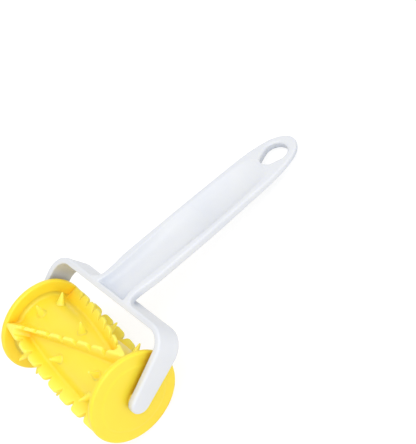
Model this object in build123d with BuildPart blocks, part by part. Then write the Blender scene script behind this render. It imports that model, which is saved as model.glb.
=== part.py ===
import os
from math import cos, radians, sin, tan

from build123d import *

# Dough docker: a moulded fork handle that carries a free-turning roller.
# Frame: X is the roller's axis, +Y points from the roller to the hanging eye, +Z is up.
# The rims of the roller and the tip of the handle stand on Z = 0.

# Roller, overall
disc_radius = 28.0
disc_thickness = 4.0
roller_length = 91.0

# End discs
rim_chamfer = 1.1
hub_radius = 5.6
hub_depth = 9.0
boss_height = 1.6
bore_end_wall = 2.0
spigot_length = 6.5
spigot_wall = 1.8
spigot_clearance = 0.1
key_width = 3.0
key_height = 1.0
key_clearance = 0.1
key_count = 3

# Drum
drum_radius = 19.0
drum_wall = 2.0
drum_flare = 2.3

# Blades on the drum
blade_set_back = 0.4
blade_root_thickness = 2.6
blade_tip_thickness = 1.7
blade_sink = 0.8
node_count = 3
first_node_angle = 116.35
notches_per_blade = 7
notch_pitch = 9.75
notch_depth = 5.2
notch_mouth = 3.9
notch_throat = 1.5
notch_root = 0.6
notch_shoulder_depth = 1.1
notch_half_reach = 2.6

# Spikes on the drum
spike_base = 5.4
spike_tip = 0.5
spike_set_back = 0.5
spike_pair_offset = 31.0
spike_pair_angle = 19.5

# Fork: two arms and the crossbar
arm_thickness = 4.2
arm_gap = 2.6
arm_end_radius = 6.3
arm_root_half_width = 8.5
arm_angle = 14.6
crossbar_reach = 37.9
crossbar_thickness = 3.6
shoulder_radius = 13.3
fork_edge_chamfer = 0.9

# Stub pins on the arms
pin_radius = 3.0
pin_length = 10.5
pin_clearance = 0.08
pin_lead = 0.6

# Grip: a dished channel with rounded rims
grip_slope = 17.93
grip_length = 138.3
grip_width = 31.0
grip_depth = 6.6
tip_depth = 4.9
grip_belly_chamfer = 2.0
grip_edge_chamfer = 0.8
rim_width = 3.3
dish_floor = 2.0
neck_flare = 11.5

# Hanging eye
eye_near_radius = 5.2
eye_far_radius = 7.1
eye_near_from_tip = 19.2
eye_far_from_tip = 13.9
eye_chamfer = 0.9

overrun = 5.0

# Half outline of the grip: share of the grip's length, share of its half width
outline_shares = [
    (0.055, 0.92),
    (0.13, 0.975),
    (0.24, 1.0),
    (0.45, 0.99),
    (0.69, 0.95),
    (0.83, 0.89),
    (0.905, 0.765),
    (0.963, 0.54),
]

# Dish along the grip: share of the grip's length, share of its inner half width, share of its depth
dish_shares = [
    (0.0, 0.93, 1.0),
    (0.1, 0.95, 1.0),
    (0.2, 0.97, 1.0),
    (0.35, 0.99, 1.0),
    (0.5, 1.0, 1.0),
    (0.6, 0.98, 0.9),
    (0.68, 0.94, 0.72),
    (0.75, 0.86, 0.44),
    (0.81, 0.72, 0.12),
]

# Places worked out from the sizes above
inner_face = roller_length / 2 - disc_thickness
outer_face = roller_length / 2
arm_face = outer_face + arm_gap
half_width = arm_face + arm_thickness
blade_tip = disc_radius - blade_set_back
spike_tip_radius = disc_radius - spike_set_back
drum_bore = drum_radius - drum_wall
pin_bore = pin_radius + pin_clearance
crossbar_outer = crossbar_reach + crossbar_thickness
eye_near_place = grip_length - eye_near_from_tip
eye_far_place = grip_length - eye_far_from_tip
near = fork_edge_chamfer / 10

arm_direction = Vector(0, cos(radians(arm_angle)), sin(radians(arm_angle)))
arm_normal = Vector(0, -sin(radians(arm_angle)), cos(radians(arm_angle)))
grip_direction = Vector(0, cos(radians(grip_slope)), -sin(radians(grip_slope)))
grip_normal = Vector(0, sin(radians(grip_slope)), cos(radians(grip_slope)))

# The rim line of the grip starts at the top edge of the crossbar's outer face
grip_start = arm_direction * crossbar_outer + arm_normal * arm_root_half_width
tip_corner = grip_start + grip_direction * grip_length
tip_reach = tip_corner.Y - grip_edge_chamfer * grip_normal.Y

# The origin is under the middle of the whole object
hub_y = disc_radius - (disc_radius + tip_reach) / 2
hub = Vector(0, hub_y, disc_radius)
roller_axis = Axis(hub, (1, 0, 0))


def radial(angle):
    """Direction from the roller's axis at an angle, measured from +Y towards +Z."""
    return Vector(0, cos(radians(angle)), sin(radians(angle)))


def round_way(angle):
    """Direction round the roller, square to radial(angle)."""
    return Vector(0, -sin(radians(angle)), cos(radians(angle)))


def along_arm(shape):
    """Distance of a shape's middle from the roller's axis, along the arms."""
    return (shape.center() - hub).dot(arm_direction)


def along_grip(shape):
    """Distance of a shape's middle from the crossbar, along the grip."""
    return (shape.center() - hub - grip_start).dot(grip_direction)


def over_rims(shape):
    """Height of a shape's middle over the plane of the grip's rims."""
    return (shape.center() - hub - grip_start).dot(grip_normal)


def blade_angles():
    """Start and end angle of each blade, from the left disc to the right one."""
    pitch = 360 / node_count
    pairs = []
    for index in range(node_count):
        start = first_node_angle - index * pitch
        pairs.append((start, start + pitch / 2))
        pairs.append((start, start - pitch / 2))
    return pairs


def notch_places():
    """Distance of each notch of a blade from the drum's middle, along the axis."""
    return [(index - (notches_per_blade - 1) / 2) * notch_pitch for index in range(notches_per_blade)]


def blade_angle(x, start, end):
    """Angle of a blade at a distance from the drum's middle, along the axis."""
    return start + (end - start) * (x + inner_face) / (2 * inner_face)


def profile_plane(side):
    """Plane through the roller's axis, its own x running outwards to the +X or -X end."""
    return Plane(origin=hub, x_dir=(side, 0, 0), z_dir=(0, -side, 0))


def blade_section_plane(x, angle):
    """Plane square to the roller's axis, its own x pointing outwards along the blade."""
    return Plane(origin=hub + Vector(x, 0, 0), x_dir=radial(angle), z_dir=(1, 0, 0))


def notch_plane(x, angle):
    """Plane along the roller's axis and the blade's height, facing round the roller."""
    return Plane(origin=hub + Vector(x, 0, 0), x_dir=(1, 0, 0), z_dir=round_way(angle))


def face_plane(x, facing):
    """Plane square to the roller's axis, looking along +X or -X."""
    return Plane(origin=hub + Vector(x, 0, 0), x_dir=(0, 1, 0), z_dir=(facing, 0, 0))


def spike_plane(x, angle):
    """Plane at a spike's foot, its own y pointing outwards and its x between the axis and the round."""
    place = hub + Vector(x, 0, 0) + radial(angle) * (drum_radius - blade_sink)
    across = Vector(1, 0, 0) + round_way(angle)
    return Plane(origin=place, x_dir=across, z_dir=across.cross(radial(angle)))


def spike_places():
    """One spike at mid length of each cell and a pair near the cell's wide end."""
    half_pitch = 180 / node_count
    places = []
    for index in range(2 * node_count):
        middle = first_node_angle - index * half_pitch
        side = 1 if index % 2 == 0 else -1
        places.append((0, middle))
        places.append((side * spike_pair_offset, middle + spike_pair_angle))
        places.append((side * spike_pair_offset, middle - spike_pair_angle))
    return places


# Roller drum: a tube with zigzag scalloped blades and a field of spikes
with BuildPart() as roller_drum:
    with BuildSketch(profile_plane(1)):
        with BuildLine():
            Polyline(
                (-inner_face, drum_bore),
                (-inner_face, drum_radius + drum_flare),
                (drum_flare - inner_face, drum_radius),
                (inner_face - drum_flare, drum_radius),
                (inner_face, drum_radius + drum_flare),
                (inner_face, drum_bore),
                close=True,
            )
        make_face()
    revolve(axis=roller_axis)

    for start_angle, end_angle in blade_angles():
        for section_x in (-inner_face, *notch_places(), inner_face):
            section_angle = blade_angle(section_x, start_angle, end_angle)
            with BuildSketch(blade_section_plane(section_x, section_angle)):
                with BuildLine():
                    Polyline(
                        (drum_radius - blade_sink, -blade_root_thickness / 2),
                        (blade_tip, -blade_tip_thickness / 2),
                        (blade_tip, blade_tip_thickness / 2),
                        (drum_radius - blade_sink, blade_root_thickness / 2),
                        close=True,
                    )
                make_face()
        loft(ruled=True)

    notch_planes = []
    for start_angle, end_angle in blade_angles():
        for notch_x in notch_places():
            notch_planes.append(notch_plane(notch_x, blade_angle(notch_x, start_angle, end_angle)))
    with BuildSketch(*notch_planes):
        with BuildLine():
            Polyline(
                (-notch_mouth / 2, blade_tip + overrun),
                (-notch_mouth / 2, blade_tip),
                (-notch_throat / 2, blade_tip - notch_shoulder_depth),
                (-notch_root / 2, blade_tip - notch_depth),
                (notch_root / 2, blade_tip - notch_depth),
                (notch_throat / 2, blade_tip - notch_shoulder_depth),
                (notch_mouth / 2, blade_tip),
                (notch_mouth / 2, blade_tip + overrun),
                close=True,
            )
        make_face()
    extrude(amount=notch_half_reach, both=True, mode=Mode.SUBTRACT)

    spike_height = spike_tip_radius - drum_radius + blade_sink
    margin = (spike_base - spike_tip) / 2
    far_side = spike_base - margin
    with Locations(*[spike_plane(x, angle) for x, angle in spike_places()]):
        Wedge(
            spike_base,
            spike_height,
            spike_base,
            margin,
            margin,
            far_side,
            far_side,
            align=(Align.CENTER, Align.MIN, Align.CENTER),
        )

    for side in (-1, 1):
        with BuildSketch(face_plane(side * inner_face, -side)):
            with PolarLocations(drum_bore, key_count):
                Rectangle(2 * (key_height + key_clearance), key_width + 2 * key_clearance)
        extrude(amount=spigot_length + key_clearance, mode=Mode.SUBTRACT)
roller_drum.part.label = "roller_drum"


def end_disc(side):
    """One end disc: side is 1 for the +X end and -1 for the -X end."""
    spigot_radius = drum_bore - spigot_clearance
    with BuildPart() as disc:
        with BuildSketch(profile_plane(side)):
            with BuildLine():
                Polyline(
                    (inner_face - hub_depth, 0),
                    (inner_face - hub_depth, hub_radius),
                    (inner_face, hub_radius),
                    (inner_face, disc_radius - rim_chamfer),
                    (inner_face + rim_chamfer, disc_radius),
                    (outer_face - rim_chamfer, disc_radius),
                    (outer_face, disc_radius - rim_chamfer),
                    (outer_face, hub_radius),
                    (outer_face + boss_height, hub_radius),
                    (outer_face + boss_height, 0),
                    close=True,
                )
            make_face()
        revolve(axis=roller_axis)

        with BuildSketch(face_plane(side * inner_face, -side)):
            Circle(spigot_radius)
            Circle(spigot_radius - spigot_wall, mode=Mode.SUBTRACT)
            with PolarLocations(spigot_radius, key_count):
                Rectangle(2 * key_height - 2 * spigot_clearance, key_width)
        extrude(amount=spigot_length)

        bore_depth = hub_depth + disc_thickness + boss_height - bore_end_wall
        with BuildSketch(face_plane(side * (outer_face + boss_height), -side)):
            Circle(pin_bore)
        extrude(amount=bore_depth, mode=Mode.SUBTRACT)
    return disc.part


right_end_disc = end_disc(1)
right_end_disc.label = "right_end_disc"
left_end_disc = end_disc(-1)
left_end_disc.label = "left_end_disc"

# Grip: the channel's outer form, made by itself and then joined to the fork
grip_plane = Plane(origin=hub + grip_start, x_dir=(1, 0, 0), z_dir=grip_normal)
grip_side_plane = Plane(origin=hub + grip_start, x_dir=grip_direction, z_dir=(1, 0, 0))
grip_half_width = grip_width / 2
neck_reach = grip_half_width + neck_flare
bend_angle = arm_angle + grip_slope
lean = tan(radians(bend_angle))
foot_length = crossbar_thickness * cos(radians(bend_angle)) / 2

with BuildPart() as grip:
    with BuildSketch(grip_plane):
        with BuildLine():
            right_side = [(across * grip_half_width, along * grip_length) for along, across in outline_shares]
            left_side = [(-x, y) for x, y in reversed(right_side)]
            rim_line = Spline(*right_side, (0, grip_length), *left_side, tangents=[(0, 1), (0, -1)])
            Spline((neck_reach, 0), rim_line @ 0, tangents=[(-1, 0), (0, 1)])
            Spline(rim_line @ 1, (-neck_reach, 0), tangents=[(0, -1), (-1, 0)])
            Polyline(
                (-neck_reach, 0),
                (-neck_reach, -overrun),
                (neck_reach, -overrun),
                (neck_reach, 0),
            )
        make_face()
    extrude(amount=-grip_depth)
    with BuildSketch(grip_side_plane):
        with BuildLine():
            Polyline(
                (-foot_length, -grip_depth),
                (-foot_length, -foot_length * lean),
                (-fork_edge_chamfer, -fork_edge_chamfer * lean),
                (fork_edge_chamfer, 0),
                (grip_length, 0),
                (grip_length, -tip_depth),
                (grip_length / 2, -grip_depth),
                close=True,
            )
        make_face()
    extrude(amount=neck_reach, both=True, mode=Mode.INTERSECT)
    curved_edges = grip.edges().filter_by(GeomType.LINE, reverse=True)
    belly_edges = [edge for edge in curved_edges if over_rims(edge) < -tip_depth / 2]
    chamfer(belly_edges, grip_belly_chamfer)
    curved_edges = grip.edges().filter_by(GeomType.LINE, reverse=True)
    rim_edges = [edge for edge in curved_edges if over_rims(edge) > -grip_edge_chamfer]
    chamfer(rim_edges, grip_edge_chamfer)

# Fork with its grip, one moulding
fork_plane = Plane(origin=hub, x_dir=(1, 0, 0), z_dir=arm_normal)
fork_side_plane = Plane(origin=hub, x_dir=arm_direction, z_dir=(1, 0, 0))

with BuildPart() as handle_fork:
    with BuildSketch(fork_plane):
        with Locations((0, (crossbar_outer - arm_end_radius) / 2)):
            Rectangle(2 * half_width, crossbar_outer + arm_end_radius)
        fillet(vertices().group_by(Axis.Y)[-1], shoulder_radius)
    extrude(amount=arm_root_half_width + overrun, both=True)
    with BuildSketch(fork_side_plane):
        Circle(arm_end_radius)
        with Locations((crossbar_outer, 0)):
            Circle(arm_root_half_width)
        make_hull()
    extrude(amount=half_width, both=True, mode=Mode.INTERSECT)
    outer_edges = [
        edge
        for edge in handle_fork.edges()
        if abs(edge.center().X) > arm_face or along_arm(edge) > crossbar_reach
    ]
    chamfer(outer_edges, fork_edge_chamfer)

    add(grip.part)

    # Space between the arms
    with BuildSketch(fork_plane):
        with Locations((0, (crossbar_reach - arm_end_radius - overrun) / 2)):
            Rectangle(2 * arm_face, crossbar_reach + arm_end_radius + overrun)
        fillet(vertices().group_by(Axis.Y)[-1], shoulder_radius - arm_thickness)
    extrude(amount=arm_root_half_width + grip_depth, both=True, mode=Mode.SUBTRACT)

    # Dish of the grip
    inner_half_width = grip_half_width - rim_width
    dish_depth = grip_depth - dish_floor
    for share_of_length, share_of_width, share_of_depth in dish_shares:
        place = hub + grip_start + grip_direction * (share_of_length * grip_length)
        reach = share_of_width * inner_half_width
        with BuildSketch(Plane(origin=place, x_dir=(1, 0, 0), z_dir=-grip_direction)):
            with BuildLine():
                ThreePointArc((-reach, 0), (0, -share_of_depth * dish_depth), (reach, 0))
                Polyline((reach, 0), (reach, overrun), (-reach, overrun), (-reach, 0))
            make_face()
    loft(ruled=True, mode=Mode.SUBTRACT)

    # Hanging eye
    with BuildSketch(grip_plane):
        with Locations((0, eye_near_place)):
            Circle(eye_near_radius)
        with Locations((0, eye_far_place)):
            Circle(eye_far_radius)
        make_hull()
    extrude(amount=grip_depth, both=True, mode=Mode.SUBTRACT)

    eye_start = eye_near_place - eye_near_radius
    eye_end = eye_far_place + eye_far_radius
    eye_edges = [
        edge
        for edge in handle_fork.edges()
        if edge.bounding_box().size.X < 2 * eye_far_radius + near
        and abs(edge.center().X) < eye_far_radius + near
        and eye_start - near < along_grip(edge) < eye_end + near
        and abs(edge.tangent_at().dot(grip_normal)) < 0.5
    ]
    chamfer(eye_edges, eye_chamfer)

    # Stub pins that the roller turns on
    for side in (-1, 1):
        with BuildSketch(face_plane(side * arm_face, -side)):
            Circle(pin_radius)
        extrude(amount=pin_length)
    circles = handle_fork.edges().filter_by(GeomType.CIRCLE)
    pin_end = arm_face - pin_length
    chamfer([edge for edge in circles if pin_end - near < abs(edge.center().X) < pin_end + near], pin_lead)
handle_fork.part.label = "handle_fork"

os.makedirs("parts", exist_ok=True)
export_step(roller_drum.part, "parts/roller_drum.step")
export_step(right_end_disc, "parts/right_end_disc.step")
export_step(left_end_disc, "parts/left_end_disc.step")
export_step(handle_fork.part, "parts/handle_fork.step")
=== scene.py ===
"""Dough docker: a scalloped, spiked roller between two discs, turning in a moulded fork handle.

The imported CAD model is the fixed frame. Sizes in the classes are millimetres, in that frame:
X is the roller's axis, +Y points to the hanging eye and +Z is up. The meshes are in metres. The
field hub is the middle of the roller's axis.
"""

import logging
from dataclasses import dataclass
from enum import Enum
from typing import Any

import bmesh
import bpy
import numpy as np
from mathutils import Matrix, Vector


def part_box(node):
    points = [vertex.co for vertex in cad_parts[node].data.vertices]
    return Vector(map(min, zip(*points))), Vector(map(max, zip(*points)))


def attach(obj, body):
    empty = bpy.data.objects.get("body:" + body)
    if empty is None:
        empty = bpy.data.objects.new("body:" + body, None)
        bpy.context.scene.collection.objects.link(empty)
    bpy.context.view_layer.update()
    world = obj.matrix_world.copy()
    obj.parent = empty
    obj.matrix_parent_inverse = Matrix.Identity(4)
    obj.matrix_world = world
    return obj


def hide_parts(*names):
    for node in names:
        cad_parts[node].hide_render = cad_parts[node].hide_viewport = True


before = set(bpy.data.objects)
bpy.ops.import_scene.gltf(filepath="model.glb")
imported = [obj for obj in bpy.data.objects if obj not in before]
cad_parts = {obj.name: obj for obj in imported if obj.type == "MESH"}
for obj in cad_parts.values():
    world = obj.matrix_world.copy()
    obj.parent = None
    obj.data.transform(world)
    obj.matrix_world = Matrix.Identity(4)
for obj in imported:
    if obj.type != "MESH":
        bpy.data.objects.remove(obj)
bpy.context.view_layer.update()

LOG = logging.getLogger("dough_docker")
# One millimetre in metres.
MM = 0.001
# The photograph's frame in pixels.
PIXELS_WIDE, PIXELS_HIGH = 416, 444
# Mesh attribute that tells a material how thin the plastic is, where it paints a paler glow.
PAINTED_GLOW = "painted_glow_share"
# Edges shorter than this share of a merge distance are dissolved.
DISSOLVED_SHARE = 0.1
# The sRGB curve: a straight line below the knee, and a power law above it.
SRGB_KNEE, SRGB_SLOPE, SRGB_OFFSET, SRGB_POWER = 0.04045, 12.92, 0.055, 2.4
WHITE = (1.0, 1.0, 1.0, 1.0)


# Mesh helpers


def signed_volume(points: np.ndarray, triangles: np.ndarray) -> float:
    """Volume inside closed triangles: a sixth of the sum of the corners' triple products.

    Args:
        points: corner coordinates, one row each.
        triangles: three indices of points per row.

    Returns:
        The volume, negative where the faces point inwards.
    """
    a, b, c = (points[triangles[:, corner]] for corner in range(3))
    return float(np.einsum("ij,ij->i", a, np.cross(b, c)).sum() / 6)


def grid_faces(rows: int, columns: int, wrap_rows: bool) -> np.ndarray:
    """Quads of a grid that closes round its columns, and round its rows too if asked.

    Args:
        rows: how many rows of points the grid has.
        columns: how many points one row has.
        wrap_rows: whether the last row joins the first one.

    Returns:
        Four point indices per quad.
    """
    row = np.arange(rows if wrap_rows else rows - 1)[:, None]
    column = np.arange(columns)[None, :]
    next_row, next_column = (row + 1) % rows, (column + 1) % columns
    corners = (
        row * columns + column,
        row * columns + next_column,
        next_row * columns + next_column,
        next_row * columns + column,
    )
    spread = [np.broadcast_to(corner, (len(row), columns)) for corner in corners]
    return np.stack(spread, axis=-1).reshape(-1, 4)


def fan_faces(pole: int, first: int, columns: int, turned: bool) -> np.ndarray:
    """Triangles that join one ring of points to a pole.

    Args:
        pole: index of the pole's point.
        first: index of the ring's first point.
        columns: how many points the ring has.
        turned: whether the triangles run the other way round.

    Returns:
        Three point indices per triangle.
    """
    here = first + np.arange(columns)
    there = first + (np.arange(columns) + 1) % columns
    sides = (there, here) if turned else (here, there)
    return np.stack([np.full(columns, pole), *sides], axis=-1)


def make_mesh(
    name: str, points: np.ndarray, quads: np.ndarray, triangles: np.ndarray
) -> bpy.types.Mesh:
    """Mesh from arrays of points in millimetres, with its faces turned outwards.

    Args:
        name: the mesh's name.
        points: coordinates in millimetres, one row each.
        quads: four indices per row.
        triangles: three indices per row, may be empty.

    Returns:
        The mesh, in metres.
    """
    halves = np.concatenate([quads[:, [0, 1, 2]], quads[:, [0, 2, 3]], triangles.reshape(-1, 3)])
    if signed_volume(points, halves) < 0:
        quads, triangles = quads[:, ::-1], triangles[:, ::-1]
    loops = np.concatenate([quads.ravel(), triangles.ravel()])
    totals = np.concatenate([np.full(len(quads), 4), np.full(len(triangles), 3)])
    starts = np.concatenate([[0], np.cumsum(totals)[:-1]])
    mesh = bpy.data.meshes.new(name)
    mesh.vertices.add(len(points))
    mesh.vertices.foreach_set("co", (points * MM).ravel())
    mesh.loops.add(len(loops))
    mesh.loops.foreach_set("vertex_index", loops)
    mesh.polygons.add(len(totals))
    mesh.polygons.foreach_set("loop_start", starts)
    mesh.update(calc_edges=True)
    mesh.validate()
    return mesh


def grid_mesh(
    name: str, grid: np.ndarray, poles: np.ndarray | None = None, wrap_rows: bool = False
) -> bpy.types.Mesh:
    """Closed mesh from a grid of points that goes round in its columns.

    Args:
        name: the mesh's name.
        grid: rows by columns by three coordinates, in millimetres.
        poles: a point before the first row and one after the last, which close the ends.
        wrap_rows: whether the last row joins the first, for a ring-shaped surface.

    Returns:
        The mesh.
    """
    rows, columns = grid.shape[:2]
    points = grid.reshape(-1, 3)
    triangles = np.zeros((0, 3), int)
    if poles is not None:
        count = len(points)
        points = np.concatenate([points, poles])
        triangles = np.concatenate(
            [
                fan_faces(count, 0, columns, True),
                fan_faces(count + 1, count - columns, columns, False),
            ]
        )
    return make_mesh(name, points, grid_faces(rows, columns, wrap_rows), triangles)


def merge_doubles(mesh: bpy.types.Mesh, distance: float) -> None:
    """Joins points that lie closer than a distance, and dissolves edges left with no length.

    Args:
        mesh: the mesh that is changed.
        distance: the distance in millimetres.
    """
    work = bmesh.new()
    work.from_mesh(mesh)
    bmesh.ops.remove_doubles(work, verts=work.verts, dist=distance * MM)
    bmesh.ops.dissolve_degenerate(work, edges=work.edges, dist=distance * MM * DISSOLVED_SHARE)
    work.to_mesh(mesh)
    work.free()


def mark_painted_glow(mesh: bpy.types.Mesh, painted_glow_share: np.ndarray) -> None:
    """Stores how thin the plastic is at each point, from 0 to 1, for its material to paint a paler
    glow.
    """
    layer = mesh.attributes.new(PAINTED_GLOW, "FLOAT", "POINT")
    layer.data.foreach_set("value", np.clip(painted_glow_share, 0, 1).astype(np.float32).ravel())


def smooth_shading(mesh: bpy.types.Mesh, sharp_degrees: float) -> None:
    """Shades a mesh smooth, but keeps edges that bend more than an angle crisp."""
    mesh.shade_smooth()
    mesh.set_sharp_from_angle(angle=np.radians(sharp_degrees))


# Materials


def linear(hex_colour: str) -> tuple[float, float, float, float]:
    """Linear colour of an sRGB hex value such as #FFCC00.

    Args:
        hex_colour: the colour as six hex digits after a #.

    Returns:
        Red, green and blue from 0 to 1 and an alpha of 1.
    """
    channels = [int(hex_colour[at : at + 2], 16) / 255 for at in (1, 3, 5)]
    red, green, blue = (
        channel / SRGB_SLOPE
        if channel <= SRGB_KNEE
        else ((channel + SRGB_OFFSET) / (1 + SRGB_OFFSET)) ** SRGB_POWER
        for channel in channels
    )
    return red, green, blue, 1.0


def add_node(
    tree: bpy.types.NodeTree, kind: str, inputs: dict[Any, Any] | None = None, **settings: Any
) -> bpy.types.Node:
    """Adds a node, sets its options and fills or links its inputs.

    Args:
        tree: the node tree.
        kind: the node's type, such as ShaderNodeBump.
        inputs: for each input's name or number, a plain value or an output socket to link.
        settings: the node's own options.

    Returns:
        The node.
    """
    node = tree.nodes.new(kind)
    for key, value in settings.items():
        setattr(node, key, value)
    for key, value in (inputs or {}).items():
        if isinstance(value, bpy.types.NodeSocket):
            tree.links.new(value, node.inputs[key])
        else:
            node.inputs[key].default_value = value
    return node


def empty_material(name: str) -> bpy.types.Material:
    """A material with an empty node tree.

    Args:
        name: the material's name.

    Returns:
        The material.
    """
    material = bpy.data.materials.new(name)
    material.use_nodes = True
    material.node_tree.nodes.clear()
    return material


@dataclass(frozen=True)
class MouldedPlastic:
    """Injection-moulded polypropylene, straight from a polished mould.

    It gives an even colour that clouds a little where the melt flowed, a soft gloss from a
    surface that is smooth but for a faint waviness, and a glow in thin walls. Corners get a
    painted shade: where ambient occlusion finds walls close by, the colour is mixed towards a
    deeper one. Thin edges and points get a painted glow: their colour is mixed towards a paler one.
    """

    name: str
    colour: str
    cloud_colour: str
    painted_shade_colour: str
    roughness: float
    glow: float
    glow_depth: float
    # Paler colour painted at thin edges and points, as a painted glow.
    painted_glow_colour: str | None = None
    # Red and green travel far in the plastic, and blue is soon lost.
    glow_reach: tuple[float, float, float] = (1.0, 0.95, 0.3)
    # How far off in millimetres a wall still makes a corner, the openness where the painted
    # shade starts and where it is full, and its largest share.
    corner_reach: float = 12.0
    painted_shade_start: float = 0.6
    painted_shade_full: float = 0.15
    painted_shade_share: float = 0.85
    painted_shade_samples: int = 8
    # Size in millimetres of the clouds that the melt's flow leaves, and their noise.
    flow_size: float = 22.0
    flow_detail: float = 3.0
    flow_roughness: float = 0.5
    flow_range: tuple[float, float] = (0.35, 0.7)
    # Size and height in millimetres of the surface's waves, drawn coarse enough to show, and
    # their noise.
    waviness_size: float = 3.2
    waviness_height: float = 0.012
    waviness_detail: float = 2.0
    waviness_roughness: float = 0.45
    waviness_range: tuple[float, float] = (0.3, 0.7)
    bump_strength: float = 0.35
    # How far the roughness goes below and above its mean with the waves.
    gloss_spread: tuple[float, float] = (0.03, 0.04)
    # Polypropylene's refractive index.
    ior: float = 1.49

    def material(self) -> bpy.types.Material:
        """Builds the node material.

        Returns:
            The material, its patterns on Object coordinates.
        """
        made = empty_material(self.name)
        tree = made.node_tree
        place = add_node(tree, "ShaderNodeTexCoord").outputs["Object"]
        flow = add_node(
            tree,
            "ShaderNodeTexNoise",
            {
                "Vector": place,
                "Scale": 1 / (self.flow_size * MM),
                "Detail": self.flow_detail,
                "Roughness": self.flow_roughness,
            },
        ).outputs["Fac"]
        cloud = add_node(
            tree,
            "ShaderNodeMapRange",
            {
                "Value": flow,
                "From Min": self.flow_range[0],
                "From Max": self.flow_range[1],
                "To Min": 0.0,
                "To Max": 1.0,
            },
        ).outputs["Result"]
        colour = add_node(
            tree,
            "ShaderNodeMix",
            {"Factor": cloud, "A": linear(self.colour), "B": linear(self.cloud_colour)},
            data_type="RGBA",
        ).outputs["Result"]
        # Painted shade: ambient occlusion mixes the colour towards a deeper one in corners.
        openness = add_node(
            tree,
            "ShaderNodeAmbientOcclusion",
            {"Distance": self.corner_reach * MM},
            samples=self.painted_shade_samples,
        ).outputs["AO"]
        corner = add_node(
            tree,
            "ShaderNodeMapRange",
            {
                "Value": openness,
                "From Min": self.painted_shade_full,
                "From Max": self.painted_shade_start,
                "To Min": self.painted_shade_share,
                "To Max": 0.0,
            },
        ).outputs["Result"]
        colour = add_node(
            tree,
            "ShaderNodeMix",
            {"Factor": corner, "A": colour, "B": linear(self.painted_shade_colour)},
            data_type="RGBA",
        ).outputs["Result"]
        # Painted glow: thin edges and points are mixed towards a paler colour.
        if self.painted_glow_colour is not None:
            thin = add_node(tree, "ShaderNodeAttribute", attribute_name=PAINTED_GLOW).outputs["Fac"]
            colour = add_node(
                tree,
                "ShaderNodeMix",
                {"Factor": thin, "A": colour, "B": linear(self.painted_glow_colour)},
                data_type="RGBA",
            ).outputs["Result"]
        waves = add_node(
            tree,
            "ShaderNodeTexNoise",
            {
                "Vector": place,
                "Scale": 1 / (self.waviness_size * MM),
                "Detail": self.waviness_detail,
                "Roughness": self.waviness_roughness,
            },
        ).outputs["Fac"]
        gloss = add_node(
            tree,
            "ShaderNodeMapRange",
            {
                "Value": waves,
                "From Min": self.waviness_range[0],
                "From Max": self.waviness_range[1],
                "To Min": self.roughness - self.gloss_spread[0],
                "To Max": self.roughness + self.gloss_spread[1],
            },
        ).outputs["Result"]
        bump = add_node(
            tree,
            "ShaderNodeBump",
            {
                "Height": waves,
                "Strength": self.bump_strength,
                "Distance": self.waviness_height * MM,
            },
        ).outputs["Normal"]
        shader = add_node(
            tree,
            "ShaderNodeBsdfPrincipled",
            {
                "Base Color": colour,
                "Roughness": gloss,
                "Normal": bump,
                "Metallic": 0.0,
                "IOR": self.ior,
                "Subsurface Weight": self.glow,
                "Subsurface Radius": self.glow_reach,
                "Subsurface Scale": self.glow_depth * MM,
            },
        ).outputs["BSDF"]
        add_node(tree, "ShaderNodeOutputMaterial", {"Surface": shader})
        return made


# Warm yellow with a painted shade that turns it orange in corners and a painted glow that makes it
# pale at thin edges and points; it also glows softly.
YELLOW = MouldedPlastic(
    name="moulded_polypropylene_yellow",
    colour="#FFE23E",
    cloud_colour="#FFE038",
    painted_shade_colour="#FFBE14",
    painted_glow_colour="#FFEE62",
    roughness=0.34,
    glow=0.4,
    glow_depth=2.5,
)
# Cool pale grey, with a bluer painted shade in corners, and nearly opaque.
GREY = MouldedPlastic(
    name="moulded_polypropylene_pale_grey",
    colour="#DFE1E5",
    cloud_colour="#DADDE3",
    painted_shade_colour="#A9B5C9",
    corner_reach=10.0,
    painted_shade_start=0.92,
    painted_shade_full=0.4,
    roughness=0.36,
    glow=0.05,
    glow_depth=1.0,
)


# Placing


class Body(Enum):
    """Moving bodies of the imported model."""

    FORK = "fork"
    ROLLER = "roller"


class Slot(Enum):
    """Material slots of the record."""

    GREY = "grey_plastic"
    YELLOW = "yellow_plastic"


def place_piece(
    name: str,
    mesh: bpy.types.Mesh,
    finish: bpy.types.Material,
    body: Body,
    nodes: tuple[str, ...],
) -> bpy.types.Object:
    """Makes a piece of a mesh that is already in its place, and tells the frame about it.

    Args:
        name: the piece's name.
        mesh: its mesh, in the model's frame.
        finish: its material.
        body: the body that it rides on.
        nodes: the CAD nodes that it stands for.

    Returns:
        The piece.
    """
    piece = bpy.data.objects.new(name, mesh)
    bpy.context.scene.collection.objects.link(piece)
    mesh.materials.clear()
    mesh.materials.append(finish)
    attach(piece, body.value)
    if nodes:
        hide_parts(*nodes)
    LOG.info("%s: %d faces, rides on %s", name, len(mesh.polygons), body.value)
    return piece


def arc(
    centre: tuple[float, float], radius: float, start: float, end: float, steps: int
) -> np.ndarray:
    """Points on a circle's arc: centre plus radius times the cosine and sine of the angle.

    Args:
        centre: the circle's centre, along and across.
        radius: the circle's radius.
        start: the first angle in degrees.
        end: the last angle in degrees.
        steps: how many points there are.

    Returns:
        One point per row.
    """
    angle = np.radians(np.linspace(start, end, steps))
    return np.array(centre) + radius * np.stack([np.cos(angle), np.sin(angle)], axis=-1)


def turned(profile: np.ndarray, angles: np.ndarray, hub: np.ndarray) -> np.ndarray:
    """Surface of revolution about the roller's axis.

    A profile point at distance a along the axis and r from it becomes (a, y + r cos t, z + r sin t)
    at each angle t, where y and z are the axis's place.

    Args:
        profile: distance along the axis and radius, one row per point.
        angles: the angles in radians.
        hub: the axis's place.

    Returns:
        A grid of points, profile by angles by three.
    """
    along, radius = profile[:, 0, None], profile[:, 1, None]
    grid = np.stack(
        [
            np.broadcast_to(along, (len(profile), len(angles))),
            radius * np.cos(angles),
            radius * np.sin(angles),
        ],
        axis=-1,
    )
    return grid + hub


# End discs


class End(Enum):
    """Ends of the roller, as the sign of X."""

    LEFT = -1
    RIGHT = 1


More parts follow.
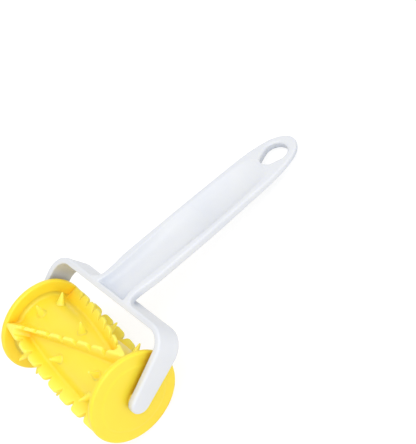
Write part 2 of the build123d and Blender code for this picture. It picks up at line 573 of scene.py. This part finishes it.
@dataclass
class EndDisc:
    """One end disc: softly domed outside, with a boss, a blind bore and a spigot inside."""

    end: End
    hub: np.ndarray
    radius: float = 27.99
    inner_face: float = 41.5
    outer_face: float = 45.5
    rim_round: float = 1.2
    dome: float = 0.6
    step_radius: float = 20.6
    step_width: float = 1.6
    step_height: float = 0.32
    boss_radius: float = 4.0
    boss_height: float = 1.1
    boss_taper: float = 0.3
    # The angle in degrees up to which the boss's upper edge is round, before its sloping side.
    boss_edge_end: float = 65.0
    bore_radius: float = 3.12
    bore_bottom: float = 34.4
    spigot_radius: float = 16.85
    spigot_wall: float = 1.8
    spigot_length: float = 6.5
    hub_length: float = 9.0
    # How far the two rings on the flat inner face lie in from the rim and out from the spigot.
    rim_inset: float = 4.0
    spigot_outset: float = 2.6
    soft: float = 0.4
    face_steps: int = 40
    rim_steps: int = 9
    soft_steps: int = 4
    sharp_degrees: float = 50.0
    columns: int = 256

    def face(self) -> np.ndarray:
        """Outer face from the boss to the rim.

        Its height falls with the square of the way from boss to rim, and by half a cosine wave
        over the step.

        Returns:
            Distance along the axis and radius, one row per point.
        """
        rim = self.radius - self.rim_round
        radius = np.linspace(self.boss_radius + self.soft, rim, self.face_steps)
        step = np.clip((radius - self.step_radius) / self.step_width + 0.5, 0, 1)
        drop = self.step_height * (1 - np.cos(np.pi * step)) / 2
        reach = (radius - self.boss_radius) / (rim - self.boss_radius)
        drop = drop + (self.dome - self.step_height) * np.clip(reach, 0, 1) ** 2
        return np.stack([self.outer_face - drop, radius], axis=-1)

    def profile(self) -> np.ndarray:
        """Half section, from the bore's bottom out over the disc to the hub's inner end.

        Returns:
            Distance along the axis and radius, one row per point.
        """
        soft, steps = self.soft, self.soft_steps
        top = self.outer_face + self.boss_height
        rim_out = self.outer_face - self.dome - self.rim_round
        rim_in = self.inner_face + self.rim_round
        rim = self.radius - self.rim_round
        spigot_end = self.inner_face - self.spigot_length
        spigot_bore = self.spigot_radius - self.spigot_wall
        hub_end = self.inner_face - self.hub_length
        boss_top = self.boss_radius - self.boss_taper
        parts = [
            [(self.bore_bottom, self.bore_radius), (top - soft, self.bore_radius)],
            arc((top - soft, self.bore_radius + soft), soft, -90, 0, steps)[1:],
            arc((top - soft, boss_top - soft), soft, 0, self.boss_edge_end, steps),
            arc((self.outer_face + soft, self.boss_radius + soft), soft, 240, 180, steps),
            self.face()[1:-1],
            arc((rim_out, rim), self.rim_round, 0, 90, self.rim_steps),
            arc((rim_in, rim), self.rim_round, 90, 180, self.rim_steps),
            [(self.inner_face, self.radius - self.rim_inset)],
            [(self.inner_face, self.spigot_radius + self.spigot_outset)],
            [(self.inner_face, self.spigot_radius), (spigot_end + soft, self.spigot_radius)],
            arc((spigot_end + soft, self.spigot_radius - soft), soft, 90, 180, steps)[1:],
            arc((spigot_end + soft, spigot_bore + soft), soft, 180, 270, steps),
            [(self.inner_face - soft, spigot_bore), (self.inner_face, spigot_bore - soft)],
            [(self.inner_face, self.boss_radius + soft)],
            [(self.inner_face - soft, self.boss_radius), (hub_end + soft, self.boss_radius)],
            [(hub_end, self.boss_radius - soft)],
        ]
        return np.concatenate([np.asarray(part, float) for part in parts])

    def build(self, finish: bpy.types.Material) -> bpy.types.Object:
        """Turns the half section about the axis, closes it at its two poles and dresses it.

        Args:
            finish: the yellow plastic.

        Returns:
            The disc.
        """
        side = np.array([self.end.value, 1.0])
        angles = np.linspace(0, 2 * np.pi, self.columns, endpoint=False)
        grid = turned(self.profile() * side, angles, self.hub)
        hub_end = self.inner_face - self.hub_length
        poles = np.array([[self.bore_bottom, 0, 0], [hub_end, 0, 0]]) * self.end.value + self.hub
        name = f"{self.end.name.lower()}_end_disc"
        mesh = grid_mesh(f"turned_{name}", grid, poles)
        smooth_shading(mesh, self.sharp_degrees)
        return place_piece(f"turned_{name}", mesh, finish, Body.ROLLER, (name,))


# Drum


@dataclass
class ZigzagDrum:
    """Drum with six scalloped blades that zigzag between its ends and merge at the rims."""

    hub: np.ndarray
    half_length: float = 41.5
    skin_radius: float = 19.0
    bore_radius: float = 17.0
    flare: float = 2.3
    # The nodes on one disc, where two blades meet, and the first one's angle on the left disc.
    node_count: int = 3
    first_node_angle: float = 116.35
    notch_count: int = 7
    notch_pitch: float = 9.75
    tip_radius: float = 27.6
    root_half_thickness: float = 1.5
    root_radius: float = 18.2
    tip_half_thickness: float = 1.0
    tip_round: float = 0.6
    # The radius from which a blade's colour turns paler, a painted glow of light through thin plastic.
    painted_glow_start: float = 21.5
    root_round: float = 1.9
    notch_depth: float = 4.4
    notch_root_half: float = 0.25
    notch_throat_half: float = 1.2
    corner_depth: float = 2.3
    corner_reach: float = 1.9
    # Extra rows on a lobe, as distances from its notch, and rows near an end: from, to and pitch.
    lobe_rows: tuple[float, float] = (3.6, 4.2)
    end_rows: tuple[float, float, float] = (2.6, 11.0, 0.4)
    # Where a row stands on the notch's root, as a share of the root's half width.
    root_row_share: float = 0.6
    closest_rows: float = 0.05
    row_digits: int = 3
    wall_steps: int = 5
    corner_steps: int = 8
    flare_steps: int = 9
    tip_angles: tuple[float, ...] = (0.0, 30.0, 60.0, 90.0)
    flank_steps: int = 5
    fillet_steps: int = 6
    floor_steps: int = 8
    # The bore takes only every so many rows of the outside.
    bore_stride: int = 8
    merge_distance: float = 0.004
    sharp_degrees: float = 38.0

    @property
    def taper(self) -> float:
        """How much a blade's half thickness shrinks per millimetre outwards."""
        height = self.tip_radius - self.root_radius
        return (self.root_half_thickness - self.tip_half_thickness) / height

    def stations(self) -> np.ndarray:
        """Places of the rows along the axis, close together at the notches and at the ends.

        Over a lobe's round corner they are the throat's half width plus the corner's reach times
        one less the cosine of evenly spaced angles, so that they crowd where it is steep.

        Returns:
            The places in rising order.
        """
        root, throat = self.notch_root_half, self.notch_throat_half
        turn = np.linspace(0, np.pi / 2, self.corner_steps)
        corner = throat + self.corner_reach * (1 - np.cos(turn))
        wall = np.linspace(root, throat, self.wall_steps)[:-1]
        floor = [0.0, root * self.root_row_share]
        lobe = [*self.lobe_rows, self.notch_pitch / 2]
        offsets = np.concatenate([floor, wall, corner, lobe])
        notches = self.notches()
        flared = np.linspace(0, self.flare, self.flare_steps)
        ends = np.concatenate([flared, np.arange(*self.end_rows)])
        rows = np.concatenate(
            [
                (notches[:, None] + offsets).ravel(),
                (notches[:, None] - offsets).ravel(),
                -self.half_length + ends,
                self.half_length - ends,
            ]
        )
        rows = np.unique(np.round(rows, self.row_digits))
        return rows[np.concatenate([[True], np.diff(rows) > self.closest_rows])]

    def notches(self) -> np.ndarray:
        """Places of the notches along the axis, evenly spaced about the drum's middle."""
        return (np.arange(self.notch_count) - (self.notch_count - 1) / 2) * self.notch_pitch

    def tip(self, x: np.ndarray) -> np.ndarray:
        """Radius of the blades' tips along the axis.

        Away from a notch it is the tip radius. Towards one it falls by a quarter of an ellipse,
        then straight down a steep wall to the notch's flat root.

        Args:
            x: places along the axis.

        Returns:
            The radius at each place.
        """
        away = np.abs(x[:, None] - self.notches()).min(axis=1)
        reach = np.clip((away - self.notch_throat_half) / self.corner_reach, 0, 1)
        rounded = self.corner_depth * (1 - np.sqrt(1 - (1 - reach) ** 2))
        wall = np.interp(
            away,
            [self.notch_root_half, self.notch_throat_half],
            [self.notch_depth, self.corner_depth],
        )
        return self.tip_radius - np.where(away < self.notch_throat_half, wall, rounded)

    def skin(self, x: np.ndarray) -> np.ndarray:
        """Radius of the drum's skin along the axis: level, with a quarter circle up to each end."""
        into = np.clip(np.abs(x) - (self.half_length - self.flare), 0, self.flare)
        return self.skin_radius + self.flare - np.sqrt(self.flare**2 - into**2)

    def blade_side(self, x: np.ndarray, half_gap: np.ndarray) -> tuple[np.ndarray, np.ndarray]:
        """Section of one side of a blade, from its middle to the middle of the gap beside it.

        It runs over the tip, round its edge, down the flank, through a fillet and along the skin.
        Where the gap is too narrow for the fillet on the skin, the fillet's circle sits on the
        gap's middle line, at the radius where it touches both flanks: half thickness plus fillet
        radius over the sine of the half gap, with the flank's taper taken into account. Near a
        node that circle lies outside the blades, and the section stays level at their tips.

        Args:
            x: places along the axis.
            half_gap: angle from the blade to the gap's middle at each place, in radians.

        Returns:
            Radius and angle from the blade's middle, each places by section points.
        """
        taper, fillet = self.taper, self.root_round
        reach = self.root_half_thickness + taper * self.root_radius
        tip, skin = self.tip(x)[:, None], self.skin(x)[:, None]
        gap = half_gap[:, None]
        open_radius = skin + fillet
        open_angle = np.arcsin((reach - taper * open_radius + fillet) / open_radius)
        is_open = open_angle <= gap
        narrow_radius = (reach + fillet) / (np.sin(gap) + taper)
        centre_radius = np.where(is_open, open_radius, narrow_radius)
        centre_angle = np.where(is_open, open_angle, gap)
        centre_across = centre_radius * np.sin(centre_angle)
        centre_out = centre_radius * np.cos(centre_angle)

        lean = np.arctan(taper)
        touch_out = centre_out - fillet * np.sin(lean)
        edge = np.clip(tip - self.tip_round - touch_out, 0, self.tip_round)
        thick = reach - taper * (tip - edge)
        round_over = np.radians(np.array(self.tip_angles))
        across = [np.zeros_like(tip), thick - edge + edge * np.sin(round_over)]
        out = [tip, tip - edge + edge * np.cos(round_over)]

        share = np.linspace(0, 1, self.flank_steps + 1)[None, 1:]
        flank_out = (tip - edge) * (1 - share) + touch_out * share
        across.append(reach - taper * flank_out)
        out.append(flank_out)

        turn = np.linspace(0, 1, self.fillet_steps + 1)[None, 1:]
        beta = lean * (1 - turn) + (np.pi / 2 - centre_angle) * turn
        across.append(centre_across - fillet * np.cos(beta))
        out.append(centre_out - fillet * np.sin(beta))
        across, out = np.concatenate(across, axis=1), np.concatenate(out, axis=1)

        radius = np.hypot(across, out)
        angle = np.maximum.accumulate(np.arctan2(across, out), axis=1)
        share = np.linspace(0, 1, self.floor_steps + 1)[None, 1:]
        start = np.minimum(angle[:, -1:], gap)
        angle = np.concatenate([angle, start * (1 - share) + gap * share], axis=1)
        level = np.repeat(radius[:, -1:], self.floor_steps, axis=1)
        radius = np.concatenate([radius, level], axis=1)
        return np.minimum(radius, tip), np.minimum(angle, gap)

    def section_grid(self, x: np.ndarray) -> tuple[np.ndarray, np.ndarray]:
        """Radius and angle of the drum's outside at each place along the axis.

        At share s of the length, the blades stand at the node angle plus and minus s times half
        the pitch between nodes, so that the gaps on their two sides open and close in turn.

        Args:
            x: places along the axis.

        Returns:
            Radius and angle, each places by columns, the angles rising round the drum.
        """
        share = (x + self.half_length) / (2 * self.half_length)
        half_pitch = np.pi / self.node_count
        beside = self.blade_side(x, half_pitch * share)
        between = self.blade_side(x, half_pitch * (1 - share))
        radii, angles = [], []
        for index in range(self.node_count):
            node = np.radians(self.first_node_angle) + index * 2 * half_pitch
            rising = (node + half_pitch * share)[:, None]
            falling = (node + half_pitch * (2 - share))[:, None]
            for middle, before, after in ((rising, beside, between), (falling, between, beside)):
                radii += [before[0][:, :0:-1], after[0][:, :-1]]
                angles += [middle - before[1][:, :0:-1], middle + after[1][:, :-1]]
        return np.concatenate(radii, axis=1), np.concatenate(angles, axis=1)

    def build(self, finish: bpy.types.Material) -> bpy.types.Object:
        """Builds the drum as one ring-shaped surface: outside, end faces and bore.

        Args:
            finish: the yellow plastic.

        Returns:
            The drum.
        """
        x = self.stations()
        radius, angle = self.section_grid(x)
        inside = np.arange(len(x))[:: -self.bore_stride]
        inside = np.concatenate([inside, [0]]) if inside[-1] else inside
        x = np.concatenate([x, x[inside]])
        bore = np.full((len(inside), radius.shape[1]), self.bore_radius)
        radius = np.concatenate([radius, bore])
        angle = np.concatenate([angle, angle[inside]])
        along = np.broadcast_to(x[:, None], radius.shape)
        grid = np.stack([along, radius * np.cos(angle), radius * np.sin(angle)], axis=-1)
        mesh = grid_mesh("zigzag_drum", grid + self.hub, wrap_rows=True)
        # The blades' outer edges get a painted glow: a paler colour.
        mark_painted_glow(mesh, (radius - self.painted_glow_start) / (self.tip_radius - self.painted_glow_start))
        merge_doubles(mesh, self.merge_distance)
        smooth_shading(mesh, self.sharp_degrees)
        nodes = ("roller_drum",)
        return place_piece("zigzag_drum", mesh, finish, Body.ROLLER, nodes)


@dataclass
class SpikeField:
    """Eighteen short spikes, between four-sided and round, on the drum between its blades."""

    hub: np.ndarray
    skin_radius: float = 19.0
    tip_radius: float = 26.1
    base_half: float = 2.45
    tip_half: float = 0.5
    # 1 is a square section with its corners on the axes and 2 is round.
    corner_power: float = 1.75
    foot_round: float = 0.9
    foot_spread: float = 0.5
    # How much of the paler painted glow the foot gets, where 1 is that of a thin edge.
    foot_painted_glow: float = 0.6
    sink: float = 0.25
    foot_levels: tuple[float, ...] = (0.0, 0.15, 0.35, 0.6, 0.9)
    flank_start: float = 1.5
    flank_rows: int = 9
    cap: float = 0.3
    cap_angles: tuple[float, ...] = (30.0, 60.0)
    cell_count: int = 6
    first_angle: float = 116.35
    pair_offset: float = 31.0
    pair_angle: float = 19.5
    columns: int = 40
    sharp_degrees: float = 60.0

    def places(self) -> np.ndarray:
        """Place of each spike: one amid each cell between two blades, two near its wide end.

        Returns:
            Distance along the axis and angle in degrees, one row per spike.
        """
        index = np.arange(self.cell_count)
        middle = self.first_angle - index * 360 / self.cell_count
        side = np.where(index % 2 == 0, 1, -1) * self.pair_offset
        return np.concatenate(
            [
                np.stack([0 * side, middle], axis=-1),
                np.stack([side, middle + self.pair_angle], axis=-1),
                np.stack([side, middle - self.pair_angle], axis=-1),
            ]
        )

    def spike(self) -> tuple[np.ndarray, np.ndarray]:
        """One spike at the origin, its own axes along, round and out.

        A section is the curve where the corner powers of the two distances from its middle add up
        to that of the half diagonal. The half diagonal falls evenly with the height, spreads with
        a square near the foot and closes over a quarter circle at the tip. The foot follows the
        drum's skin, which falls away by the square of the distance over twice its radius.

        Returns:
            A grid of points and the two poles.
        """
        height = self.tip_radius - self.skin_radius
        flank = np.linspace(self.flank_start, height - self.cap, self.flank_rows)
        level = np.concatenate([[-self.sink], self.foot_levels, flank])
        share = np.clip(level / height, 0, 1)
        half = self.base_half + (self.tip_half - self.base_half) * share
        half = half + self.foot_spread * np.clip(1 - level / self.foot_round, 0, 1) ** 2
        over = np.radians(np.array(self.cap_angles))
        level = np.concatenate([level, height - self.cap + self.cap * np.sin(over)])
        half = np.concatenate([half, half[-1] * np.cos(over)])
        turn = np.linspace(0, 2 * np.pi, self.columns, endpoint=False)
        power = 2 / self.corner_power
        along = np.sign(np.cos(turn)) * np.abs(np.cos(turn)) ** power
        round_way = np.sign(np.sin(turn)) * np.abs(np.sin(turn)) ** power
        along, round_way = half[:, None] * along, half[:, None] * round_way
        sag = round_way**2 / (2 * self.skin_radius)
        sag = sag * (1 - np.clip(level / height, 0, 1))[:, None]
        grid = np.stack([along, round_way, level[:, None] - sag], axis=-1)
        poles = np.array([[0, 0, -self.sink], [0, 0, height]])
        return grid, poles

    def build(self, finish: bpy.types.Material) -> bpy.types.Object:
        """Copies the spike to every place by turning its axes, all at once, and dresses them.

        A point of the spike goes to the place's foot plus its own three distances times the
        directions along the axis, round it and outwards.

        Args:
            finish: the yellow plastic.

        Returns:
            The spikes as one piece.
        """
        grid, poles = self.spike()
        rows, columns = grid.shape[:2]
        points = np.concatenate([grid.reshape(-1, 3), poles])
        places = self.places()
        angle = np.radians(places[:, 1])
        outward = np.stack([0 * angle, np.cos(angle), np.sin(angle)], axis=-1)
        round_way = np.stack([0 * angle, -np.sin(angle), np.cos(angle)], axis=-1)
        along = np.broadcast_to([1.0, 0.0, 0.0], outward.shape)
        axes = np.stack([along, round_way, outward], axis=1)
        origin = self.hub + outward * self.skin_radius + along * places[:, :1]
        field = np.einsum("pk,nkj->npj", points, axes) + origin[:, None]
        first = (np.arange(len(places)) * len(points))[:, None, None]
        fans = np.concatenate(
            [
                fan_faces(rows * columns, 0, columns, True),
                fan_faces(rows * columns + 1, (rows - 1) * columns, columns, False),
            ]
        )
        quads = (grid_faces(rows, columns, False)[None] + first).reshape(-1, 4)
        triangles = (fans[None] + first).reshape(-1, 3)
        mesh = make_mesh("drum_spikes", field.reshape(-1, 3), quads, triangles)
        # The spikes get a painted glow, paler towards their points.
        share = points[:, 2] / points[:, 2].max()
        painted_glow_share = self.foot_painted_glow + (1 - self.foot_painted_glow) * share
        mark_painted_glow(mesh, np.tile(painted_glow_share, len(places)))
        smooth_shading(mesh, self.sharp_degrees)
        return place_piece("drum_spikes", mesh, finish, Body.ROLLER, ())


# Fork


@dataclass
class MouldedFork:
    """Fork, crossbar and dished grip as one moulding with soft edges.

    Its form is the CAD node's. A copy is merged, cut into even voxels and relaxed, which gives
    the edges and inner corners the small radii of a real moulding. Its dish is carved anew.
    """

    hub: np.ndarray
    node: str = "handle_fork"
    merge_distance: float = 0.001
    voxel: float = 0.4
    relax: float = 0.5
    rounds: int = 6
    # The share of the triangles that is kept, which keeps the piece under 200,000.
    thinning: float = 0.7
    # Slopes of the arms and of the grip in the side view, in degrees.
    arm_slope: float = 14.6
    grip_slope: float = 17.93
    crossbar_outer: float = 41.5
    arm_root_half_width: float = 8.5
    neck_half_width: float = 10.0
    dish_half_width: float = 12.2
    dish_flare: float = 2.8
    flare_length: float = 4.0
    dish_depth: float = 4.6
    dish_length: float = 69.0
    neck_power: float = 7.0
    end_radius: float = 4.0

    def carve_dish(self, mesh: bpy.types.Mesh) -> None:
        """Gives the dish steep walls near the neck and a rounded end at the crossbar.

        In the grip's own axes, with s along it from the crossbar and a across it, a smooth step
        runs from 0 at the neck to 1 at the end of the carved length. With it the half width w
        grows from the neck's to the dish's, and the power p falls from the neck's to 2. A flare
        that falls exponentially with s widens w at the crossbar. The depth is the dish's, times
        one less the power p of a over w, times the height of a quarter ellipse that rises from 0
        at the end wall to 1 at the end radius.

        Args:
            mesh: the fork's mesh, which is changed.
        """
        arm, grip = np.radians([self.arm_slope, -self.grip_slope])
        start = self.crossbar_outer * np.array([0, np.cos(arm), np.sin(arm)])
        start = start + self.arm_root_half_width * np.array([0, -np.sin(arm), np.cos(arm)])
        along_axis = np.array([0, np.cos(grip), np.sin(grip)])
        up_axis = np.array([0, -np.sin(grip), np.cos(grip)])
        points = np.empty(3 * len(mesh.vertices), np.float32)
        mesh.vertices.foreach_get("co", points)
        points = points.reshape(-1, 3).astype(float) / MM
        local = points - self.hub - start
        across, along, height = local[:, 0], local @ along_axis, local @ up_axis
        step = np.clip(along / self.dish_length, 0, 1)
        step = step**2 * (3 - 2 * step)
        half_width = self.neck_half_width + (self.dish_half_width - self.neck_half_width) * step
        half_width = half_width + self.dish_flare * np.exp(-np.abs(along) / self.flare_length)
        power = self.neck_power + (2 - self.neck_power) * step
        section = np.clip(1 - np.abs(across / half_width) ** power, 0, 1)
        reach = np.clip(1 - along / self.end_radius, 0, 1)
        target = -self.dish_depth * np.sqrt(1 - reach**2) * section
        inside = (along > 0) & (along < self.dish_length) & (height > -self.dish_depth - self.voxel)
        inside &= np.abs(across) < np.maximum(half_width, self.dish_half_width + self.voxel)
        points += np.where(inside, target - height, 0)[:, None] * up_axis
        mesh.vertices.foreach_set("co", (points * MM).astype(np.float32).ravel())

    def evaluated(self, work: bpy.types.Object) -> bpy.types.Mesh:
        """The mesh that an object's modifiers give.

        Args:
            work: the object.

        Returns:
            A mesh of its own.
        """
        bpy.context.view_layer.update()
        graph = bpy.context.evaluated_depsgraph_get()
        return bpy.data.meshes.new_from_object(work.evaluated_get(graph))

    def build(self, finish: bpy.types.Material) -> bpy.types.Object:
        """Copies, remeshes, carves and relaxes the CAD node, and dresses the result.

        Args:
            finish: the grey plastic.

        Returns:
            The fork.
        """
        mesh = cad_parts[self.node].data.copy()
        merge_doubles(mesh, self.merge_distance)
        work = bpy.data.objects.new("fork_work", mesh)
        bpy.context.scene.collection.objects.link(work)
        remesh = work.modifiers.new("voxels", "REMESH")
        remesh.mode = "VOXEL"
        remesh.voxel_size = self.voxel * MM
        remesh.use_smooth_shade = True
        even = self.evaluated(work)
        self.carve_dish(even)
        work.data = even
        smooth = work.modifiers.new("relax", "SMOOTH")
        smooth.factor = self.relax
        smooth.iterations = self.rounds
        thin = work.modifiers.new("thin", "DECIMATE")
        thin.ratio = self.thinning
        made = self.evaluated(work)
        made.name = "moulded_fork"
        low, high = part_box(self.node)
        points = np.empty((len(made.vertices), 3), np.float32)
        made.vertices.foreach_get("co", points.ravel())
        made.vertices.foreach_set("co", np.clip(points, low, high).astype(np.float32).ravel())
        bpy.data.objects.remove(work)
        made.shade_smooth()
        return place_piece("moulded_fork", made, finish, Body.FORK, (self.node,))


# Stage


@dataclass(frozen=True)
class Lamp:
    """A soft square lamp: its place and side in millimetres and its power in watts."""

    name: str
    place: tuple[float, float, float]
    side: float
    power: float


@dataclass
class Studio:
    """Pale floor, white surroundings, soft lamps and the photograph's camera.

    The key lamp stands overhead, so that level faces are the brightest, and the front lamp, on
    the camera's side, softens the shade.
    """

    hub: np.ndarray
    lamps: tuple[Lamp, ...] = (
        Lamp("key_lamp", (450.0, 200.0, 1300.0), 900.0, 6.5),
        Lamp("front_lamp", (1250.0, -250.0, 450.0), 900.0, 3.0),
    )
    # The world's strength on the object.
    surround: float = 0.82
    paper_colour: str = "#E6E6E6"
    # Where the paper is seen, its darker colour keeps the shadow and the lift makes it white.
    seen_paper_colour: str = "#8C8C8C"
    seen_lift: float = 0.82
    floor_half: float = 6000.0
    # The camera's focal length in the photograph's pixels.
    focal_pixels: float = 1800.0
    sensor: float = 36.0
    clip_start: float = 0.01
    clip_end: float = 100.0
    # The camera's place, and its right and up directions.
    camera_from_hub: tuple[float, float, float] = (683.13, 45.47, 726.01)
    right: tuple[float, float, float] = (0.60658, 0.60435, -0.51655)
    up: tuple[float, float, float] = (-0.41395, 0.79479, 0.44379)

    def camera(self) -> bpy.types.Object:
        """The photograph's viewpoint, turned as the tool is held there.

        Returns:
            The camera.
        """
        data = bpy.data.cameras.new("photo_camera")
        data.sensor_width = self.sensor
        data.lens = self.focal_pixels * self.sensor / max(PIXELS_WIDE, PIXELS_HIGH)
        data.clip_start = self.clip_start
        data.clip_end = self.clip_end
        made = bpy.data.objects.new("photo_camera", data)
        right, up = Vector(self.right).normalized(), Vector(self.up).normalized()
        back = right.cross(up).normalized()
        up = back.cross(right)
        place = Vector((self.hub + np.array(self.camera_from_hub)) * MM)
        facing = Matrix((right, up, back)).transposed().to_4x4()
        made.matrix_world = Matrix.Translation(place) @ facing
        bpy.context.scene.collection.objects.link(made)
        bpy.context.scene.camera = made
        return made

    def seen_rays(self, tree: bpy.types.NodeTree) -> bpy.types.NodeSocket:
        """A value of 1 for camera, glossy and transmission rays, and of 0 for all others.

        Args:
            tree: the node tree that gets the nodes.

        Returns:
            The socket with the value.
        """
        rays = add_node(tree, "ShaderNodeLightPath").outputs
        seen = rays["Is Camera Ray"]
        for kind in ("Is Glossy Ray", "Is Transmission Ray"):
            inputs = {0: seen, 1: rays[kind]}
            seen = add_node(tree, "ShaderNodeMath", inputs, operation="MAXIMUM").outputs["Value"]
        return seen

    def floor(self) -> bpy.types.Object:
        """Large square of white paper at Z = 0, which keeps the object's soft shadow.

        Returns:
            The floor.
        """
        edges = np.array([-self.floor_half, self.floor_half])
        along, across = np.meshgrid(edges, edges, indexing="ij")
        points = np.stack([along, across, 0 * along], axis=-1).reshape(-1, 3) * MM
        mesh = bpy.data.meshes.new("floor")
        mesh.from_pydata(points.tolist(), [], [(0, 2, 3, 1)])
        made = bpy.data.objects.new("floor", mesh)
        bpy.context.scene.collection.objects.link(made)
        material = empty_material("matt_white_paper")
        tree = material.node_tree
        seen = self.seen_rays(tree)
        paper, pale = (
            add_node(tree, "ShaderNodeBsdfDiffuse", {"Color": linear(colour)}).outputs["BSDF"]
            for colour in (self.paper_colour, self.seen_paper_colour)
        )
        lift = add_node(
            tree, "ShaderNodeEmission", {"Color": WHITE, "Strength": self.seen_lift}
        ).outputs["Emission"]
        bright = add_node(tree, "ShaderNodeAddShader", {0: pale, 1: lift}).outputs["Shader"]
        mixed = add_node(tree, "ShaderNodeMixShader", {0: seen, 1: paper, 2: bright}).outputs["Shader"]
        add_node(tree, "ShaderNodeOutputMaterial", {"Surface": mixed})
        mesh.materials.append(material)
        return made

    def world(self) -> bpy.types.World:
        """Even pale surroundings for the object, pure white where they are seen.

        Returns:
            The world.
        """
        made = bpy.data.worlds.new("studio_world")
        made.use_nodes = True
        tree = made.node_tree
        tree.nodes.clear()
        seen = self.seen_rays(tree)
        plain, white = (
            add_node(
                tree, "ShaderNodeBackground", {"Color": WHITE, "Strength": strength}
            ).outputs["Background"]
            for strength in (self.surround, 1.0)
        )
        mixed = add_node(tree, "ShaderNodeMixShader", {0: seen, 1: plain, 2: white}).outputs["Shader"]
        add_node(tree, "ShaderNodeOutputWorld", {"Surface": mixed})
        bpy.context.scene.world = made
        return made

    def light(self) -> None:
        """Stands the lamps round the object, each turned to it."""
        for lamp in self.lamps:
            data = bpy.data.lights.new(lamp.name, "AREA")
            data.shape = "SQUARE"
            data.size = lamp.side * MM
            data.energy = lamp.power
            made = bpy.data.objects.new(lamp.name, data)
            made.location = Vector(lamp.place) * MM
            aim = Vector(self.hub * MM) - made.location
            made.rotation_mode = "QUATERNION"
            made.rotation_quaternion = aim.to_track_quat("-Z", "Y")
            bpy.context.scene.collection.objects.link(made)

    def build(self) -> None:
        """Sets the whole stage up."""
        self.camera()
        self.floor()
        self.world()
        self.light()
        bpy.context.scene.view_settings.view_transform = "Standard"


# Main


def main() -> None:
    """Builds the stage and the pieces in order."""
    logging.basicConfig(level=logging.INFO, format="%(message)s")
    low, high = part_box("right_end_disc")
    hub = np.array([0.0, (low.y + high.y) / 2, (low.z + high.z) / 2]) / MM
    Studio(hub).build()
    yellow, grey = YELLOW.material(), GREY.material()
    MouldedFork(hub).build(grey)
    for end in End:
        EndDisc(end, hub).build(yellow)
    ZigzagDrum(hub).build(yellow)
    SpikeField(hub).build(yellow)


if __name__ == "__main__":
    main()
